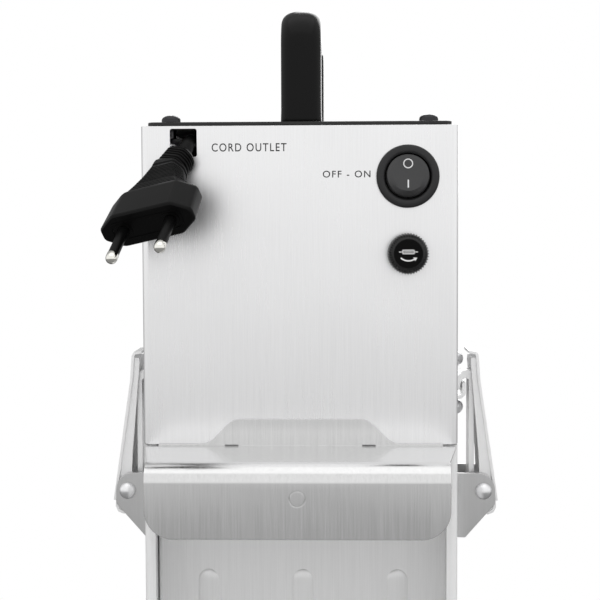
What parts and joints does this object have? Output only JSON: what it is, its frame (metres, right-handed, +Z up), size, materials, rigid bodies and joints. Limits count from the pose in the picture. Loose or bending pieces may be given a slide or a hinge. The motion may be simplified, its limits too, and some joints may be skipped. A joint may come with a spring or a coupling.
{
  "type": "nacho cheese dispenser",
  "caption": "Narrow stainless cheese dispenser: a drive head with handle, rocker switch, fuse and plug latched on a warmer base with ribbed tank, spout and drip tray.",
  "frame": {"origin": "middle of the footprint on the counter, under the feet, the mains plug left out", "axes": "+Z up, -Y towards the rear control panel with switch, fuse and plug, +Y towards the dispensing spout, +X to the right when facing the control panel"},
  "size_m": [0.1608, 0.2983, 0.3863],
  "materials": {
    "brushed_steel": "vertically brushed stainless sheet",
    "bright_steel": "bright pressed stainless, lightly polished",
    "black_enamel": "satin black enamel",
    "dark_screw": "blackened steel screw",
    "black_plastic": "satin moulded plastic",
    "black_gloss": "polished moulded plastic",
    "rubber": "matte black rubber",
    "silicone": "translucent food-grade silicone",
    "food_plastic": "food-grade acetal",
    "brass": "nickel-plated brass contact",
    "glass": "clear glass tube",
    "red_plastic": "glossy push-button cap",
    "amber_lens": "amber lamp lens"
  },
  "bodies": {
    "base": {"base_frame": "brushed_steel", "cheese_tank": "brushed_steel", "tank_seal": "silicone", "base_front_cover": "brushed_steel", "hook_plate": "brushed_steel", "foot_rear_left": "rubber", "foot_rear_right": "rubber", "foot_front_left": "rubber", "foot_front_right": "rubber", "latch_bracket_left": "bright_steel", "latch_bracket_right": "bright_steel", "latch_pivot_left": "bright_steel", "latch_pivot_right": "bright_steel"},
    "head": {"head_shell": "brushed_steel", "head_floor": "brushed_steel", "head_front_panel": "brushed_steel", "head_lid": "black_enamel", "lid_screw_rear_left": "dark_screw", "lid_screw_rear_right": "dark_screw", "lid_screw_front_left": "dark_screw", "lid_screw_front_right": "dark_screw", "carry_handle": "black_plastic", "handle_screw_rear": "dark_screw", "handle_screw_front": "dark_screw", "switch_housing": "black_plastic", "fuse_holder": "black_plastic", "mains_cord": "rubber", "mains_cord_coil": "rubber", "cord_clamp": "black_plastic", "mains_plug": "black_plastic", "plug_pin_left": "brass", "plug_pin_right": "brass", "gearbox": "bright_steel", "drive_motor": "bright_steel", "motor_bridge": "brushed_steel", "pump_tube": "food_plastic", "shaft_seal": "silicone", "spout": "bright_steel", "heater_rod": "bright_steel", "temperature_probe": "bright_steel", "pilot_lamp": "amber_lens", "keeper_left": "bright_steel", "keeper_right": "bright_steel", "keeper_nut_lower_left": "bright_steel", "keeper_nut_upper_left": "bright_steel", "keeper_nut_lower_right": "bright_steel", "keeper_nut_upper_right": "bright_steel"},
    "latch_lever_left": {"latch_lever_left": "bright_steel"},
    "latch_link_left": {"latch_link_left": "bright_steel"},
    "latch_lever_right": {"latch_lever_right": "bright_steel"},
    "latch_link_right": {"latch_link_right": "bright_steel"},
    "power_rocker": {"power_rocker": "black_gloss"},
    "fuse_carrier": {"fuse_link": "glass"},
    "fuse_cap": {"fuse_cap": "black_gloss"},
    "dispense_button": {"dispense_button": "red_plastic"},
    "thermostat_knob": {"thermostat_knob": "black_plastic"},
    "auger": {"auger": "food_plastic", "drive_coupling": "bright_steel"},
    "drip_tray": {"drip_tray": "brushed_steel"},
    "drip_grille": {"drip_grille": "brushed_steel"}
  },
  "joints": [
    {"name": "head_lift", "type": "slide", "parent": "base", "child": "head", "axis": [0, 0, 1], "range_m": [0, 0.215]},
    {"name": "latch_lever_left_turn", "type": "hinge", "parent": "base", "child": "latch_lever_left", "pos_m": [-0.07415, -0.024, 0.1922], "axis": [0, -1, 0], "range_deg": [0, 110]},
    {"name": "latch_link_left_turn", "type": "hinge", "parent": "latch_lever_left", "child": "latch_link_left", "pos_m": [-0.07635, -0.024, 0.1852], "axis": [0, -1, 0], "range_deg": [-95, 0]},
    {"name": "latch_lever_right_turn", "type": "hinge", "parent": "base", "child": "latch_lever_right", "pos_m": [0.07415, -0.024, 0.1922], "axis": [0, 1, 0], "range_deg": [0, 110]},
    {"name": "latch_link_right_turn", "type": "hinge", "parent": "latch_lever_right", "child": "latch_link_right", "pos_m": [0.07635, -0.024, 0.1852], "axis": [0, 1, 0], "range_deg": [-95, 0]},
    {"name": "power_rocker_tilt", "type": "hinge", "parent": "head", "child": "power_rocker", "pos_m": [0.0396, -0.099, 0.3205], "axis": [1, 0, 0], "range_deg": [0, 18]},
    {"name": "fuse_carrier_slide", "type": "slide", "parent": "head", "child": "fuse_carrier", "axis": [0, -1, 0], "range_m": [0, 0.032]},
    {"name": "fuse_cap_turn", "type": "hinge", "parent": "fuse_carrier", "child": "fuse_cap", "pos_m": [0.0394, -0.099, 0.2924], "axis": [0, -1, 0], "range_deg": [0, 60]},
    {"name": "dispense_button_press", "type": "slide", "parent": "head", "child": "dispense_button", "axis": [0, -1, 0], "range_m": [0, 0.003], "stiffness_N_per_m": 300},
    {"name": "thermostat_knob_turn", "type": "hinge", "parent": "head", "child": "thermostat_knob", "pos_m": [-0.03, 0.051, 0.312], "axis": [0, -1, 0], "range_deg": [0, 270]},
    {"name": "auger_spin", "type": "hinge", "parent": "head", "child": "auger", "pos_m": [0, 0.006, 0.222], "axis": [0, 0, 1], "continuous": true},
    {"name": "drip_tray_slide", "type": "slide", "parent": "base", "child": "drip_tray", "axis": [0, 1, 0], "range_m": [0, 0.09]},
    {"name": "drip_grille_lift", "type": "slide", "parent": "drip_tray", "child": "drip_grille", "axis": [0, 0, 1], "range_m": [0, 0.03]}
  ],
  "couplings": [
    {"joint": "latch_link_left_turn", "follows": "latch_lever_left_turn", "ratio": -0.86},
    {"joint": "latch_link_right_turn", "follows": "latch_lever_right_turn", "ratio": -0.86}
  ]
}
